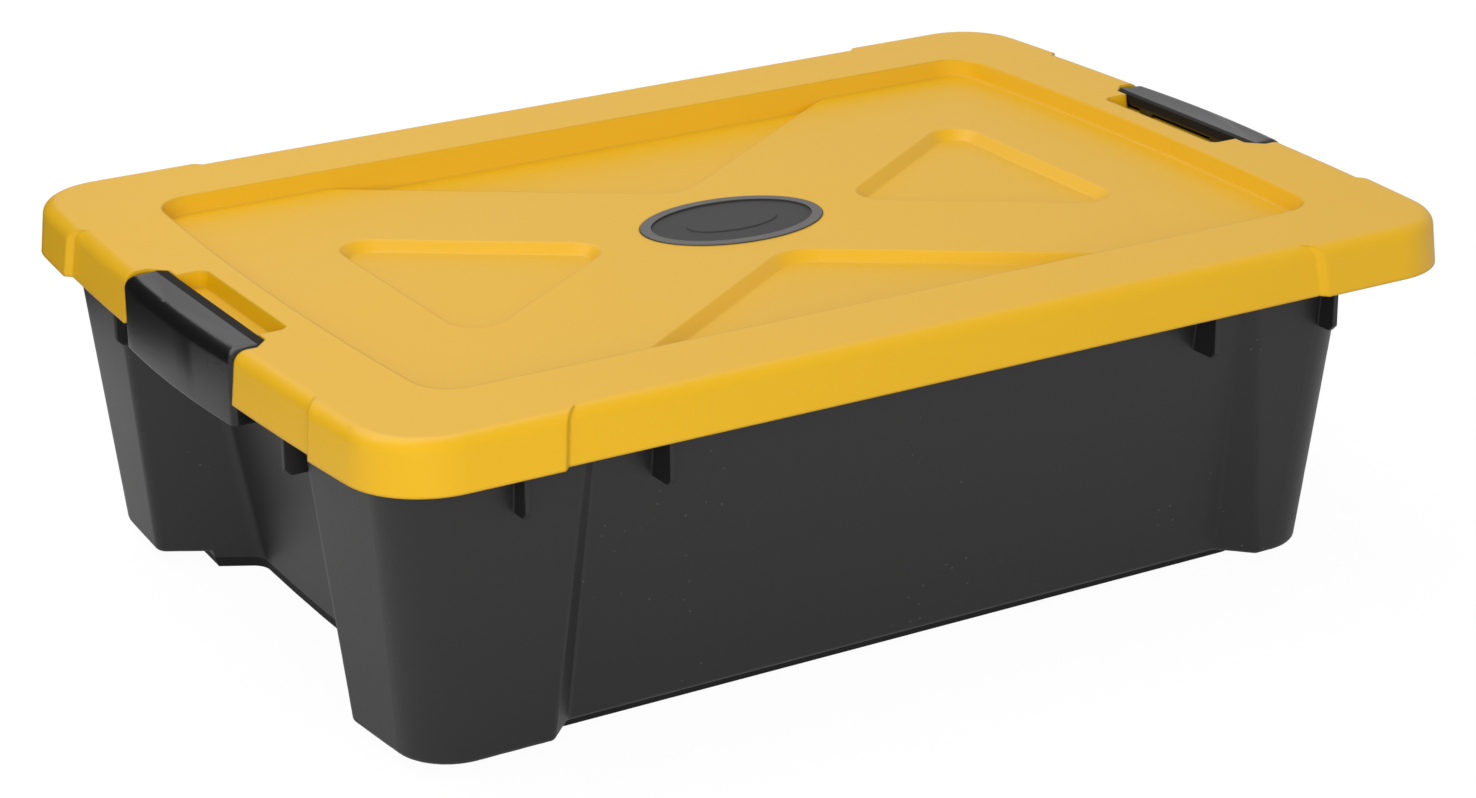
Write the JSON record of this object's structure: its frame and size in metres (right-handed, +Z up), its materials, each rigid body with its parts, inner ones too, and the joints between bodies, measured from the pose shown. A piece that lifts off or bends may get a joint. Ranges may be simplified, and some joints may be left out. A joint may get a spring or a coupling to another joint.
{
  "type": "stackable storage box",
  "caption": "Shallow rectangular storage box: tapered black tub, yellow lift-off lid with a stacking recess and oval badge, and a hinged latch at each short end.",
  "frame": {"origin": "on the ground under the middle of the tub", "axes": "+X along the length towards the right latch, +Y across the width towards the rear, +Z up"},
  "size_m": [0.6026, 0.424, 0.177],
  "materials": {
    "tub_plastic": "fine matt moulding, charcoal black polypropylene",
    "lid_plastic": "satin moulding, warm yellow polypropylene",
    "latch_plastic": "half-gloss black",
    "badge_plastic": "satin dark grey"
  },
  "bodies": {
    "tub": {"tub": "tub_plastic"},
    "lid": {"lid": "lid_plastic", "badge": "badge_plastic"},
    "latch_left": {"latch_left": "latch_plastic"},
    "latch_right": {"latch_right": "latch_plastic"}
  },
  "joints": [
    {"name": "lid_lift", "type": "slide", "parent": "tub", "child": "lid", "axis": [0, 0, 1], "range_m": [0, 0.04]},
    {"name": "latch_left_hinge", "type": "hinge", "parent": "tub", "child": "latch_left", "pos_m": [-0.292, 0, 0.1475], "axis": [0, -1, 0], "range_deg": [0, 160]},
    {"name": "latch_right_hinge", "type": "hinge", "parent": "tub", "child": "latch_right", "pos_m": [0.292, 0, 0.1475], "axis": [0, 1, 0], "range_deg": [0, 160]}
  ],
  "couplings": [
    {"joint": "latch_left_hinge", "follows": "lid_lift", "rad_per_m": 69.77},
    {"joint": "latch_right_hinge", "follows": "lid_lift", "rad_per_m": 69.77}
  ]
}
